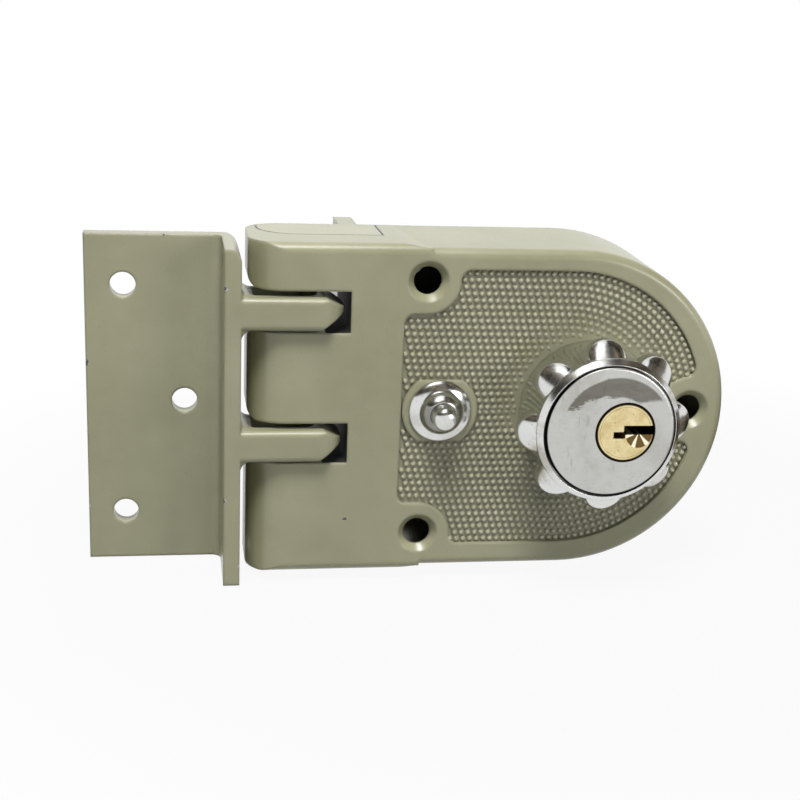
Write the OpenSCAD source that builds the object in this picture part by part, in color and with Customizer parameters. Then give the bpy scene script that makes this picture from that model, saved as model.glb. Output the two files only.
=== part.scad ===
// Surface-mounted interlocking deadlock with its strike.
// All sizes in millimetres. The door face is the plane y = 0, the front looks
// along -y, z is up. The knob turns about the y axis (x = 0, z = 0).
// Depths named *_a are distances ahead of the door face, so y = -a.

/* [Case] */
// Door face to the front of the case
case_depth = 29; // [28.5:0.25:30]
// Knob axis to the left end of the case
case_left = 84.4; // [84.2:0.1:85]
// Half height of the case
case_half = 41.3; // [41:0.1:41.8]
// How far the round end draws in toward its front
case_draft = 0.9; // [0.5:0.1:1.2]
// Knob axis back to the centre of the round end
round_back = 5; // [4.5:0.25:5.5]
// How far the middle of the case lies below the knob axis
case_drop = 0.5; // [0.2:0.1:0.8]
// Thickness of the case front
front_wall = 2.4; // [2.2:0.1:2.6]
// Radius along the front edge
edge_round = 2.2; // [1.6:0.1:2.3]
// Plan radius of the two left corners
left_corner = 9; // [8.6:0.1:9.4]
// Depth of the bumpy panel
panel_depth = 1; // [0.6:0.1:1.2]
// Radius of the three case screw holes
case_hole_r = 3.4; // [3:0.1:3.6]
// Radius of their countersinks
case_sink_r = 5; // [4.4:0.1:5.2]
// Knob axis to the two left case holes
case_hole_x = 41.8; // [41.6:0.1:42]
// Height of the two left case holes above and below the axis
case_hole_z = 32; // [31.6:0.1:32.2]
// Knob axis to the right case hole
end_hole_x = 26.3; // [25.9:0.1:26.5]

/* [Slots] */
// Height of each eyelet slot
slot_high = 10.1; // [9.8:0.1:10.3]
// Distance between the slots
slot_pitch = 32.5; // [32.3:0.1:32.7]
// Height of the middle of the upper slot
slot_z = 24.35; // [24.2:0.05:24.5]
// Knob axis to the closed end of the slots
slot_end = 60.2; // [60:0.1:60.4]
// Radius of the slot mouths
mouth_round = 2.5; // [1.5:0.25:2.75]

/* [Bolts] */
// Length of a bolt along the case
bolt_long = 12.6; // [12:0.1:12.8]
// Thickness of a bolt
bolt_thick = 7.2; // [6.8:0.1:7.3]
// Height of a bolt
bolt_tall = 16; // [15.6:0.1:16.2]
// Knob axis to the middle of the bolts
bolt_x = 74.5; // [74.3:0.1:74.6]
// How far the bolts rise
bolt_travel = 14; // [13.6:0.1:14]

/* [Knob] */
// Case front to the rim of the knob
knob_high = 18.4; // [18:0.1:19]
// Radius of the drum
drum_r = 17.6; // [17.4:0.1:18]
// Number of lobes round the knob
lobe_count = 8; // [6:1:9]
// Radius of one lobe
lobe_r = 5; // [4.4:0.1:5.4]
// Knob axis to the middle of a lobe
lobe_at = 16.3; // [15.8:0.1:16.8]
// Thickness of the lobes along the axis
lobe_thick = 6.6; // [6:0.1:7]
// Radius of the knob neck
neck_r = 14.55; // [14.4:0.05:14.6]

/* [Cylinder] */
// Radius of the cylinder face
face_r = 15.875; // [15.6:0.005:15.9]
// Knob axis to the plug axis
plug_x = 3.6; // [3.4:0.1:3.8]
// Radius of the plug face
plug_face_r = 7; // [6.8:0.05:7.1]
// Radius of the plug behind its face
plug_r = 6.5; // [6.3:0.05:6.55]
// Distance between the pins
pin_pitch = 3.9; // [3.7:0.05:3.95]
// Radius of the pins
pin_r = 1.35; // [1.2:0.05:1.4]

/* [Button] */
// Knob axis to the button axis
button_x = 37.6; // [37.4:0.1:37.8]
// Radius of the bezel flange
bezel_r = 7.8; // [7.4:0.1:8.2]
// Radius of the bezel dome
dome_r = 5.3; // [5:0.1:5.6]
// Radius of the button
button_r = 3.05; // [2.8:0.05:3.2]
// How far the button goes in
button_travel = 4; // [3.4:0.1:4]

/* [Strike] */
// Knob axis to the near face of the upright leg
strike_x = 86.2; // [86:0.1:86.6]
// Thickness of the upright leg
leg_thick = 4; // [3.6:0.1:4.4]
// Thickness of the wide leg
wing_thick = 4; // [3.6:0.1:4.4]
// Width of the wide leg from the upright leg
wing_wide = 33; // [32:0.5:34]
// Height of the strike
strike_high = 83.5; // [83:0.5:85]
// Height of the middle of the strike
strike_z = -2.25; // [-2.5:0.05:-2]
// Height of an eyelet
eye_high = 7.8; // [7.4:0.1:8]
// Knob axis to the tip of the eyelets
eye_tip = 61.6; // [61.4:0.1:62]
// Radius round the outside of the bend between the legs
bend_round = 4.6; // [3.6:0.2:5]
// Radius of the holes in the wide leg
wing_hole_r = 3.15; // [2.8:0.05:3.4]
// Radius of the holes in the upright leg
leg_hole_r = 2.8; // [2.4:0.1:3]

/* [Door edge flange] */
// Thickness of the flange
flange_thick = 4.8; // [4.4:0.1:5]
// How far the flange reaches over the door edge
flange_reach = 20.5; // [18:0.5:24]
// Half height of the flange
flange_half = 39.5; // [38.5:0.25:40.5]
// Radius of its screw holes
flange_hole_r = 2.4; // [2:0.1:2.8]

/* [Hidden] */
$fn = 96;
gap = 0.3;
run = 0.05;
eps = 0.01;
join = 0.8;

// Levels inside the case
inner_a = case_depth - front_wall;
panel_a = case_depth - panel_depth;
plate_thick = 2;
strip_thick = 2.2;
carrier_a = 9;
carrier_thick = 3;
hub_a = carrier_a + carrier_thick + 0.6;
hub_thick = 3.2;
floor_a = hub_a + hub_thick + 0.2;
floor_thick = 4;
slide_a = floor_a + floor_thick + 0.1;
slide_thick = 2.9;
rear_a = slide_a + slide_thick + 0.2;
drum_a = panel_a + 0.3;
rim_a = case_depth + knob_high;
face_a = rim_a + 0.4;
head_thick = 3;
seat_a = face_a - head_thick - 0.1;

// Case outline
front_half = case_half - case_draft;
step_from = 48;
step_to = 41;
side_wall = 2.8;
cavity_half = case_half - side_wall;
case_top = case_half - case_drop;
cavity_top = case_top - 4;
cavity_left = slot_end - 1.9;
thin_wall = 1.7;
chamber_corner = left_corner - thin_wall;
corner_x = case_left - left_corner;
corner_front = case_depth - left_corner;

// Slots and the chambers between them
slot_half = slot_high / 2;
low_slot_z = slot_z - slot_pitch;
chamber_wall = 1.9;
top_chamber = [slot_z + slot_half + chamber_wall, cavity_top];
mid_chamber = [low_slot_z + slot_half + chamber_wall, slot_z - slot_half - chamber_wall];
low_chamber = [-cavity_half - case_drop, low_slot_z - slot_half - chamber_wall];
chambers = [top_chamber, mid_chamber, low_chamber];
chamber_back_x = 75;

// Posts inside the case
post_a = plate_thick + 0.05;
sink_deep = 1.8;
post_r = 3.2;
post_bore_r = 1.3;
screw_r = 1.25;
screw_head_r = 2.6;
screw_long = 10;
post_in = 8.3;
end_post_in = 12.3;
post_z = case_half - post_in;
end_post_z = case_half - end_post_in;
posts = [[-30, post_z], [-30, -post_z], [11, end_post_z], [11, -end_post_z]];

// Panel
panel_left = 47.3;
panel_half = 34.9;
panel_fillet = 2.5;
side_boss_r = 7.9;
end_boss_r = 8.5;
button_boss_r = 9.4;
panel_back = 6;
button_boss_flat = 7.7;

// Tongue of the flange casting let into the top of the case
tongue_left = 81.7;
tongue_right = 51.3;
tongue_deep = 16.2;
tongue_z = case_top - 2.4;
tongue_corner = 9.7;
web_right = 51.3;
web_left = 58.1;

// Strip, flange and studs
strip_left = cavity_left - 0.2;
strip_right = 48.1;
flange_x = 59.5;
flange_fillet = 3;
flange_hole_z = 28;
stud_x = 53;
stud_z = [16.5, -10];
stud_tenon_r = 1.6;
stud_collar_r = 3.2;
stud_neck_r = 2;
stud_head_r = 3.4;
stud_head_thick = 1.5;

// Bush
bush_inner_r = neck_r + run;
bush_outer_r = bush_inner_r + 2;
bush_hole_r = bush_outer_r + run;
bush_flange_r = 18.5;
bush_a = floor_a + 3.5;
bush_front_a = panel_a - 0.4;
notch_half = 3.7;

// Knob
bore_r = face_r + 0.325;
neck_bore_r = 13;
bevel_r = drum_r - 0.9;
bevel_long = 1.8;
lobe_a = seat_a - 6.2;
lobe_round = 2;
lobe_turn = 4;
clip_a = floor_a + 2.6;
clip_thick = 0.7;
clip_inner_r = 13.7;
clip_outer_r = 17.5;
rail_thick = 1.4;
dog_half = 3;
dog_z = 8.5;
dog_high = 3;

// Cylinder
barrel_r = 12.9;
plug_bore_r = plug_r + run;
plug_rear_a = rear_a - 0.2;
chamber_r = pin_r + 0.07;
first_pin_a = rear_a + 4;
pin_count = 5;
driver_long = 4;
driver_x = plug_x - plug_r - 0.1;
cover_x = -12.5;
cover_thick = 1;
cover_half = 1.95;
pin_wire_r = 0.18;
pin_coil_r = 1;
cam_at = 1.4142;
cam_r = 1;
tie_x = 6;
tie_z = 8.6;
tie_head_r = 2.2;
tie_long = 15;

// Hub
hub_flange_r = 13.5;
journal_r = 4.5;
shoulder_r = 5.6;
pilot_r = 3;
pilot_long = 3;
crank_at = 7;
crank_r = 2;

// Lock slide
slide_half = 3.5;
slide_tip_r = 14.3;
slide_tail = 7.6;

// Carrier
spine_left = 57.6;
spine_right = 48.4;
spine_top = 21;
arm_high = 4;
arm_left = 66;
riser_right = 61;
fork_end = 5.8;
fork_half = 5.4;
fork_slot_half = crank_r + 0.4;
fork_slot_from = 12.3;
bolt_a = inner_a - bolt_thick / 2 - gap;
bolt_end_r = bolt_thick / 2;
bolt_reach = bolt_long / 2 - bolt_end_r;
upper_top = slot_z - slot_half - 0.4;
lower_top = low_slot_z - slot_half - 0.4;
bolt_chamfer = 0.8;
rivet_r = 1.6;
rivet_head_r = 2.6;
rivet_at = 3;
rivet_long = 10;

// Keyway
keyway_left = 2.85;
keyway_low = 1.5;
keyway_step_high = 1.65;
keyway_lap = 0.4;
keyway_sill = 0.5;
keyway_long = 8;
keyway_high = 2.2;

// Button
bezel_thick = 1.8;
dome_high = 4.5;
bezel_neck_r = 5;
bezel_rear_a = case_depth - 10;
spring_floor_a = bezel_rear_a + 1.5;
button_bore_r = button_r + 0.1;
button_tip_a = case_depth + 9;
button_rear_a = case_depth - 0.1;
stem_r = 1.2;
stem_tip_a = 12.6;
nut_r = 7;
nut_thick = 3.4;
nut_flats = 11.5;
clip_stem_r = 0.9;

// Strike
wing_a = 7;
strike_front_a = case_depth + 2.4;
strike_top = strike_z + strike_high / 2;
strike_low = strike_z - strike_high / 2;
eye_back_a = 15;
eye_corner = 6;
eye_round = 1.3;
eye_fillet = 2.8;
eye_hole_left = 84.7;
eye_hole_right = 67.9;
eye_hole_back_a = 18;
eye_hole_front_a = 27.4;
eye_hole_corner = 3;
nose_top = 66.2;
nose_low = 67.6;
nose_low_z = 0.3;
nose_top_z = 1.4;
wing_fillet = 2.5;
leg_corner = 3.2;
wing_holes = [[-114, 29.2], [-99.2, 0], [-114, -29.2]];
leg_hole_z = 36;
leg_hole_a = 20;

paint = [0.60, 0.60, 0.50];
zinc = [0.72, 0.72, 0.68];
steel = [0.55, 0.56, 0.58];
brass = [0.80, 0.70, 0.42];
chrome = [0.85, 0.85, 0.86];

// A plate from depth a0 to a1, drawn in x and z
module plate(a0, a1) {
  translate([0, -a0, 0]) rotate([90, 0, 0]) linear_extrude(a1 - a0) children();
}

// A turned piece about an axis along y, drawn in radius and depth
module turned(x, z) {
  translate([x, 0, z]) rotate([90, 0, 0]) rotate_extrude() children();
}

// A bar along x from x0 to x1, drawn in depth and z
module bar(x0, x1) {
  translate([x0, 0, 0]) rotate([90, 0, 90]) linear_extrude(x1 - x0) mirror([1, 0, 0]) children();
}

// A slab from height z0 to z1, drawn in x and depth
module slab(z0, z1) {
  translate([0, 0, z0]) linear_extrude(z1 - z0) mirror([0, 1, 0]) children();
}

// A round peg along y
module peg(x, z, a0, a1, r) {
  translate([x, 0, z]) plate(a0, a1) circle(r);
}

// A cone along y
module cone(x, z, a0, a1, r0, r1) {
  translate([x, -a0, z]) rotate([90, 0, 0]) cylinder(h = a1 - a0, r1 = r0, r2 = r1);
}

// A round peg along x
module cross_peg(x0, x1, a, z, r) {
  translate([x0, -a, z]) rotate([0, 90, 0]) cylinder(h = x1 - x0, r = r);
}

// A box from x, depth and z limits
module block(x0, x1, a0, a1, z0, z1) {
  translate([x0, -a1, z0]) cube([x1 - x0, a1 - a0, z1 - z0]);
}

// Rectangle with four round corners
module round_rect(x0, x1, y0, y1, r) {
  translate([x0 + r, y0]) square([x1 - x0 - 2 * r, y1 - y0]);
  translate([x0, y0 + r]) square([x1 - x0, y1 - y0 - 2 * r]);
  for (x = [x0 + r, x1 - r]) {
    for (y = [y0 + r, y1 - r]) {
      translate([x, y]) circle(r);
    }
  }
}

// The hollow left between two straight edges that meet at the origin
module fillet_corner(r) {
  difference() {
    square(r);
    translate([r, r]) circle(r);
  }
}

// Oblong with round ends, long along the first axis
module oblong(long, wide) {
  translate([-(long - wide) / 2, -wide / 2]) square([long - wide, wide]);
  for (side = [-1, 1]) {
    translate([side * (long - wide) / 2, 0]) circle(wide / 2);
  }
}

// A coil about the z axis from height 0 to high
module coil(coil_r, wire_r, high, turns) {
  steps = 14;
  sides = 6;
  count = steps * turns;
  points = [for (i = [0 : count]) for (j = [0 : sides - 1])
    let (turn = 360 * i / steps, rise = wire_r + (high - 2 * wire_r) * i / count,
      r = coil_r + wire_r * cos(360 * j / sides))
    [r * cos(turn), r * sin(turn), rise + wire_r * sin(360 * j / sides)]];
  walls = [for (i = [0 : count - 1]) for (j = [0 : sides - 1])
    let (k = (j + 1) % sides)
    [i * sides + j, (i + 1) * sides + j, (i + 1) * sides + k, i * sides + k]];
  start_cap = [[for (j = [0 : sides - 1]) j]];
  end_cap = [[for (j = [0 : sides - 1]) count * sides + sides - 1 - j]];
  polyhedron(points = points, faces = concat(walls, start_cap, end_cap));
}

// Half section of the drafted part of the case, in radius and depth
module case_section() {
  knee_a = case_depth - edge_round;
  polygon([[0, 0], [case_half - 0.05, 0], [front_half, knee_a], [0, knee_a]]);
  square([front_half - edge_round, case_depth]);
  translate([front_half - edge_round, knee_a]) circle(edge_round);
}

// Section of the left block, in depth and z
module block_section() {
  knee_a = case_depth - edge_round;
  translate([0, -case_half]) square([knee_a, 2 * case_half]);
  translate([0, edge_round - case_half]) square([case_depth, 2 * (case_half - edge_round)]);
  for (side = [-1, 1]) {
    translate([knee_a, side * (case_half - edge_round)]) circle(edge_round);
  }
}

// Plan of the left block with its two round corners, in x and depth
module block_plan() {
  translate([-case_left, left_corner]) square([case_left - step_to + 1, corner_front - left_corner]);
  translate([-corner_x, 0]) square([corner_x - step_to + 1, case_depth]);
  for (a = [left_corner, corner_front]) {
    translate([-corner_x, a]) circle(left_corner);
  }
}

// Front view of the left block, stepping down in a smooth curve to the drafted part
module step_shape() {
  parts = 8;
  curve = [for (i = [0 : parts])
    [-step_from + (step_from - step_to) * i / parts, case_half - case_draft * (1 - cos(180 * i / parts)) / 2]];
  for (side = [0, 1]) {
    mirror([0, side]) polygon(concat([[-step_to, -1], [-case_left - 2, -1], [-case_left - 2, case_half + 1],
      [-step_from - 0.01, case_half + 1]], curve));
  }
}

module case_outer() {
  translate([0, 0, -case_drop]) case_body();
}

module case_body() {
  intersection() {
    bar(-case_left - 1, -step_to) block_section();
    slab(-case_half - 1, case_half + 1) block_plan();
    plate(-1, case_depth + 1) step_shape();
  }
  bar(-step_from - join, -round_back) {
    rotate([0, 0, -90]) case_section();
    mirror([0, 1, 0]) rotate([0, 0, -90]) case_section();
  }
  turned(-round_back, 0) case_section();
}

// Plan of a chamber behind the left end
module chamber_plan() {
  intersection() {
    union() {
      translate([-case_left + thin_wall, left_corner]) square([25.5, corner_front - left_corner]);
      translate([-corner_x, thin_wall]) square([case_left - thin_wall - cavity_left - (corner_x - case_left + thin_wall) - left_corner + 1.8, case_depth - 2 * thin_wall]);
      for (a = [left_corner, corner_front]) {
        translate([-corner_x, a]) circle(chamber_corner);
      }
    }
    translate([-case_left, strip_thick]) square([case_left - cavity_left + eps, inner_a - strip_thick]);
  }
}

module case_cavity() {
  translate([-round_back, 0, -case_drop]) plate(-1, inner_a) circle(cavity_half);
  block(-50, -round_back, -1, inner_a, -cavity_half - case_drop, cavity_half - case_drop);
  block(-cavity_left, -50 + eps, -1, inner_a, -cavity_half - case_drop, cavity_top);
  for (room = chambers) {
    slab(room[0], room[1]) chamber_plan();
    block(-chamber_back_x, -cavity_left + eps, -1, strip_thick + eps, room[0], room[1]);
  }
}

// Outline of one slot with its rounded mouth
module slot_shape() {
  translate([-case_left - 5, -slot_half]) square([case_left + 5 - slot_end, slot_high]);
  for (side = [0, 1]) {
    mirror([0, side]) translate([-case_left, slot_half]) difference() {
      translate([-2, -1]) square([2 + mouth_round, 1 + mouth_round]);
      translate([mouth_round, mouth_round]) circle(mouth_round);
      translate([mouth_round, 0]) square([mouth_round, mouth_round]);
    }
  }
}

module bolt_hole(z0, z1) {
  translate([0, 0, z0]) linear_extrude(z1 - z0) translate([-bolt_x, -bolt_a]) oblong(bolt_long + 2 * gap, bolt_thick + 2 * gap);
}

// Outline of the bumpy panel with its bosses left standing
module panel_shape() {
  difference() {
    panel_outline();
    intersection() {
      translate([-button_x, 0]) circle(button_boss_r);
      square([2 * case_left, 2 * button_boss_flat], center = true);
    }
  }
}

module panel_outline() {
  $fn = 40;
  offset(r = panel_fillet) offset(delta = -panel_fillet) difference() {
    union() {
      translate([-panel_left, -panel_half]) square([panel_left - panel_back, 2 * panel_half]);
      translate([-panel_back, 0]) circle(panel_half, $fn = 80);
    }
    for (side = [0, 1]) {
      mirror([0, side]) translate([-case_hole_x, case_hole_z]) {
        circle(side_boss_r);
        translate([-12, 0]) square([12 + side_boss_r, 12]);
        translate([-12, -side_boss_r]) square([12, 12 + side_boss_r]);
      }
    }
    translate([end_hole_x, 0]) circle(end_boss_r);
    translate([end_hole_x, -end_boss_r]) square([12, 2 * end_boss_r]);
  }
}

module tongue_plan(slack) {
  intersection() {
    block_plan();
    union() {
      translate([-tongue_left + slack, -1]) square([tongue_left - tongue_right - 2 * slack, tongue_deep + 1 - tongue_corner]);
      translate([-tongue_left + tongue_corner, -1]) square([tongue_left - tongue_right - tongue_corner - slack, tongue_deep + 1 - slack]);
      translate([-tongue_left + tongue_corner, tongue_deep - tongue_corner]) circle(tongue_corner - slack);
    }
  }
}

module case_holes() {
  for (spot = [[-case_hole_x, case_hole_z], [-case_hole_x, -case_hole_z], [end_hole_x, 0]]) {
    peg(spot[0], spot[1], -1, case_depth + 1, case_hole_r);
    cone(spot[0], spot[1], case_depth - sink_deep, case_depth + eps, case_hole_r, case_sink_r);
  }
}

module case_cover() {
  color(paint) difference() {
    union() {
      difference() {
        case_outer();
        case_cavity();
      }
      for (post = posts) {
        peg(post[0], post[1], post_a, inner_a + join, post_r);
      }
    }
    plate(panel_a, case_depth + 1) panel_shape();
    for (z = [slot_z, low_slot_z]) {
      translate([0, 0, z]) plate(-1, case_depth + 1) slot_shape();
      bolt_hole(z - slot_half - chamber_wall - eps, z + slot_half + chamber_wall + eps);
    }
    slab(tongue_z, case_top + 1) tongue_plan(0);
    block(-web_left - 0.2, -web_right + 0.2, -1, strip_thick + 0.2, cavity_top - 1, case_top + 1);
    case_holes();
    for (post = posts) {
      peg(post[0], post[1], -1, screw_long + 2, post_bore_r);
    }
    peg(0, 0, 0, case_depth + 1, bush_hole_r);
    peg(-button_x, 0, 0, case_depth + 1, bezel_neck_r + run);
  }
}

module back_plate() {
  color(zinc) difference() {
    plate(0, plate_thick) difference() {
      union() {
        translate([-round_back, -case_drop]) circle(cavity_half - 0.15);
        translate([-strip_right + 0.2, 0.15 - cavity_half - case_drop]) square([strip_right - 0.2 - round_back, 2 * cavity_half - 0.3]);
      }
      circle(journal_r + run);
    }
    for (spot = [[-case_hole_x, case_hole_z], [-case_hole_x, -case_hole_z], [end_hole_x, 0]]) {
      peg(spot[0], spot[1], -1, 3, case_hole_r + 0.1);
    }
    for (post = posts) {
      peg(post[0], post[1], -1, 3, post_bore_r + 0.2);
      cone(post[0], post[1], -eps, 1.4, screw_head_r + 0.1, post_bore_r + 0.1);
    }
  }
}

module back_screws() {
  color(steel) for (post = posts) {
    difference() {
      union() {
        cone(post[0], post[1], 0.1, 1.35, screw_head_r, screw_r);
        peg(post[0], post[1], 1.3, screw_long, screw_r);
      }
      block(post[0] - 1.5, post[0] + 1.5, 0, 0.8, post[1] - 0.3, post[1] + 0.3);
      block(post[0] - 0.3, post[0] + 0.3, 0, 0.8, post[1] - 1.5, post[1] + 1.5);
    }
  }
}

module edge_flange() {
  color(zinc) difference() {
    union() {
      block(-flange_x, -flange_x + flange_thick, -flange_reach, -0.1, -flange_half, flange_half);
      slab(-flange_half, flange_half) translate([-flange_x + flange_thick, -0.1]) mirror([0, 1]) fillet_corner(flange_fillet);
      block(-strip_left, -strip_right, -0.1, strip_thick, 0.3 - cavity_half - case_drop, cavity_top - 0.2);
      for (room = chambers) {
        block(-chamber_back_x + 0.2, -strip_left + eps, 0, strip_thick - 0.1, room[0] + 0.2, room[1] - 0.2);
      }
      block(-web_left, -web_right, -0.1, strip_thick, cavity_top - 1, case_top);
      slab(tongue_z + 0.1, case_top) difference() {
        tongue_plan(0.15);
        translate([-90, -2]) square([60, 2]);
      }
    }
    for (z = stud_z) {
      peg(-stud_x, z, -4, strip_thick + 1, stud_tenon_r + run);
    }
    for (side = [-1, 1]) {
      cross_peg(-flange_x - 1, -flange_x + flange_thick + 1, -flange_reach / 2 - 1, side * flange_hole_z, flange_hole_r);
      translate([-flange_x - eps, flange_reach / 2 + 1, side * flange_hole_z]) rotate([0, 90, 0])
        cylinder(h = 2, r1 = flange_hole_r + 2, r2 = flange_hole_r);
    }
  }
}

module guide_studs() {
  color(steel) for (z = stud_z) {
    peg(-stud_x, z, 0.1, strip_thick + eps, stud_tenon_r);
    peg(-stud_x, z, strip_thick, carrier_a - 0.2, stud_collar_r);
    peg(-stud_x, z, carrier_a - 0.3, carrier_a + carrier_thick + 0.3, stud_neck_r);
    peg(-stud_x, z, carrier_a + carrier_thick + 0.3 - eps, carrier_a + carrier_thick + 0.3 + stud_head_thick, stud_head_r);
  }
}

module knob_bush() {
  color(brass) difference() {
    turned(0, 0) {
      translate([bush_inner_r, bush_a]) square([bush_outer_r - bush_inner_r, bush_front_a - bush_a]);
      translate([bush_inner_r, rear_a + 0.1]) square([bush_flange_r - bush_inner_r, inner_a - 0.1 - rear_a - 0.1]);
    }
    block(-bush_flange_r, bush_flange_r, bush_a - 1, slide_a + slide_thick + 0.2, -notch_half, notch_half);
    block(-notch_half, notch_half, bush_a - 1, slide_a + slide_thick + 0.2, -bush_flange_r, bush_flange_r);
  }
}

module button_bezel() {
  top_a = case_depth + dome_high;
  color(chrome) difference() {
    union() {
      turned(-button_x, 0) {
        translate([0, bezel_rear_a]) square([bezel_neck_r, case_depth - bezel_rear_a]);
        translate([0, case_depth]) square([bezel_r - 0.9, bezel_thick]);
        translate([0, case_depth]) square([bezel_r, bezel_thick - 0.9]);
        translate([bezel_r - 0.9, case_depth + bezel_thick - 0.9]) circle(0.9);
        translate([0, case_depth + bezel_thick - eps]) square([dome_r, dome_high - bezel_thick - 1]);
        translate([0, case_depth + bezel_thick - eps]) square([dome_r - 1, dome_high - bezel_thick]);
        translate([dome_r - 1, top_a - 1]) circle(1);
      }
    }
    peg(-button_x, 0, spring_floor_a, top_a + 1, button_bore_r);
    peg(-button_x, 0, bezel_rear_a - 1, spring_floor_a + 1, stem_r + run);
  }
}

module button_nut() {
  color(steel) difference() {
    translate([-button_x, 0, 0]) plate(inner_a - 0.1 - nut_thick, inner_a - 0.1) intersection() {
      circle(nut_r);
      square([2 * nut_r, nut_flats], center = true);
    }
    peg(-button_x, 0, 0, case_depth, bezel_neck_r + run);
  }
}

module button_spring() {
  high = button_rear_a - spring_floor_a - 0.1;
  color(steel) translate([-button_x, -spring_floor_a - 0.05, 0]) rotate([90, 0, 0]) coil(button_r - 0.6, 0.35, high, 6);
}

module button_plunger() {
  color(chrome) difference() {
    turned(-button_x, 0) {
      translate([0, button_rear_a]) square([button_r, button_tip_a - button_rear_a - 1]);
      translate([0, button_tip_a - 2]) square([button_r - 1, 2]);
      translate([button_r - 1, button_tip_a - 1]) circle(1);
      translate([0, stem_tip_a + 0.4]) square([stem_r, button_rear_a - stem_tip_a]);
      translate([0, stem_tip_a]) square([stem_r - 0.4, 2]);
    }
    turned(-button_x, 0) translate([clip_stem_r, bezel_rear_a - 0.9]) square([1, 0.8]);
  }
}

module button_clip() {
  color(steel) difference() {
    turned(-button_x, 0) translate([clip_stem_r + run, bezel_rear_a - 0.85]) square([2.4 - clip_stem_r - run, 0.6]);
    block(-button_x - 0.8, -button_x + 0.8, 0, 30, -4, 0);
  }
}

// One lobe of the knob about its own axis
module lobe_section() {
  top = lobe_a + lobe_thick;
  square_r = lobe_r - lobe_round;
  translate([0, lobe_a]) square([square_r, lobe_thick]);
  translate([0, lobe_a + lobe_round]) square([lobe_r, lobe_thick - 2 * lobe_round]);
  translate([square_r, top - lobe_round]) circle(lobe_round);
  translate([square_r, lobe_a + lobe_round]) circle(lobe_round);
}

module turn_knob() {
  color(chrome) difference() {
    union() {
      turned(0, 0) polygon([[0, floor_a], [neck_r, floor_a], [neck_r, drum_a], [drum_r, drum_a],
        [drum_r, rim_a - bevel_long], [bevel_r, rim_a], [0, rim_a]]);
      for (i = [0 : lobe_count - 1]) {
        turned(lobe_at * cos(lobe_turn + 360 * i / lobe_count), lobe_at * sin(lobe_turn + 360 * i / lobe_count)) lobe_section();
      }
    }
    peg(0, 0, seat_a, rim_a + 1, bore_r);
    difference() {
      peg(0, 0, floor_a + floor_thick, rim_a + 1, neck_bore_r);
      for (side = [0, 1]) {
        mirror([0, 0, side]) block(-neck_bore_r - 1, 8, 0, rear_a - 0.2, slide_half + 0.1, slide_half + 0.1 + rail_thick);
      }
    }
    block(-drum_r, -neck_bore_r + 1, floor_a + floor_thick, slide_a + slide_thick + 0.1, -slide_half - 0.1, slide_half + 0.1);
    turned(0, 0) translate([clip_inner_r - run, clip_a - 0.05]) square([5, clip_thick + 0.1]);
    for (side = [0, 1]) {
      mirror([0, 0, side]) block(-dog_half - 0.1, dog_half + 0.1, 0, floor_a + floor_thick + 1, dog_z - 0.1, dog_z + dog_high + 0.1);
      mirror([0, 0, side]) peg(tie_x, tie_z, 0, 30, screw_r + 0.1);
      mirror([0, 0, side]) cone(tie_x, tie_z, floor_a - eps, floor_a + 1.3, tie_head_r + 0.1, screw_r + 0.1);
    }
  }
}

module knob_clip() {
  color(steel) difference() {
    turned(0, 0) translate([clip_inner_r, clip_a]) square([clip_outer_r - clip_inner_r, clip_thick]);
    rotate([0, 45, 0]) block(0, 30, 0, 40, -4, 4);
  }
}

module drive_hub() {
  color(steel) difference() {
    union() {
      turned(0, 0) polygon([[0, 0], [journal_r, 0], [journal_r, plate_thick + 0.2], [shoulder_r, plate_thick + 0.2],
        [shoulder_r, carrier_a - 0.6], [journal_r, carrier_a - 0.6], [journal_r, hub_a],
        [hub_flange_r, hub_a], [hub_flange_r, hub_a + hub_thick], [0, hub_a + hub_thick]]);
      for (side = [0, 1]) {
        mirror([0, 0, side]) block(-dog_half, dog_half, hub_a + 1, floor_a + floor_thick - 0.4, dog_z, dog_z + dog_high);
      }
      peg(-crank_at, -crank_at, carrier_a - 0.4, hub_a + 1, crank_r);
    }
    peg(0, 0, -1, pilot_long, pilot_r);
    block(-1.1, 1.1, 0, 9, -2.7, 2.7);
  }
}

module keyway() {
  translate([plug_x - keyway_left, -keyway_low]) square([keyway_left, keyway_step_high]);
  translate([plug_x - keyway_lap, -keyway_sill]) square([keyway_long, keyway_high]);
}

module cylinder_body() {
  color(brass) difference() {
    union() {
      turned(0, 0) {
        translate([0, rear_a]) square([barrel_r, seat_a - rear_a + 0.2]);
        translate([0, seat_a + 0.1]) square([face_r, head_thick - 0.7]);
        translate([0, seat_a + 0.1]) square([face_r - 0.7, head_thick]);
        translate([face_r - 0.7, face_a - 0.7]) circle(0.7);
      }
    }
    peg(plug_x, 0, 0, face_a + 1, plug_bore_r);
    peg(plug_x, 0, face_a - 2, face_a + 1, plug_face_r + run);
    for (i = [0 : pin_count - 1]) {
      cross_peg(-12.2, plug_x, first_pin_a + i * pin_pitch, 0, chamber_r);
    }
    block(-14, cover_x + cover_thick + 0.05, first_pin_a - 2.4, seat_a - 0.2, -cover_half - 0.1, cover_half + 0.1);
    for (side = [-1, 1]) {
      peg(tie_x, side * tie_z, 0, floor_a + tie_long, screw_r + run);
    }
  }
}

module cylinder_screws() {
  color(steel) for (side = [-1, 1]) {
    difference() {
      union() {
        cone(tie_x, side * tie_z, floor_a + 0.1, floor_a + 1.2, tie_head_r, screw_r);
        peg(tie_x, side * tie_z, floor_a + 1.1, floor_a + tie_long - 1, screw_r);
      }
      block(tie_x - 1.6, tie_x + 1.6, 0, floor_a + 0.6, side * tie_z - 0.3, side * tie_z + 0.3);
    }
  }
}

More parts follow.
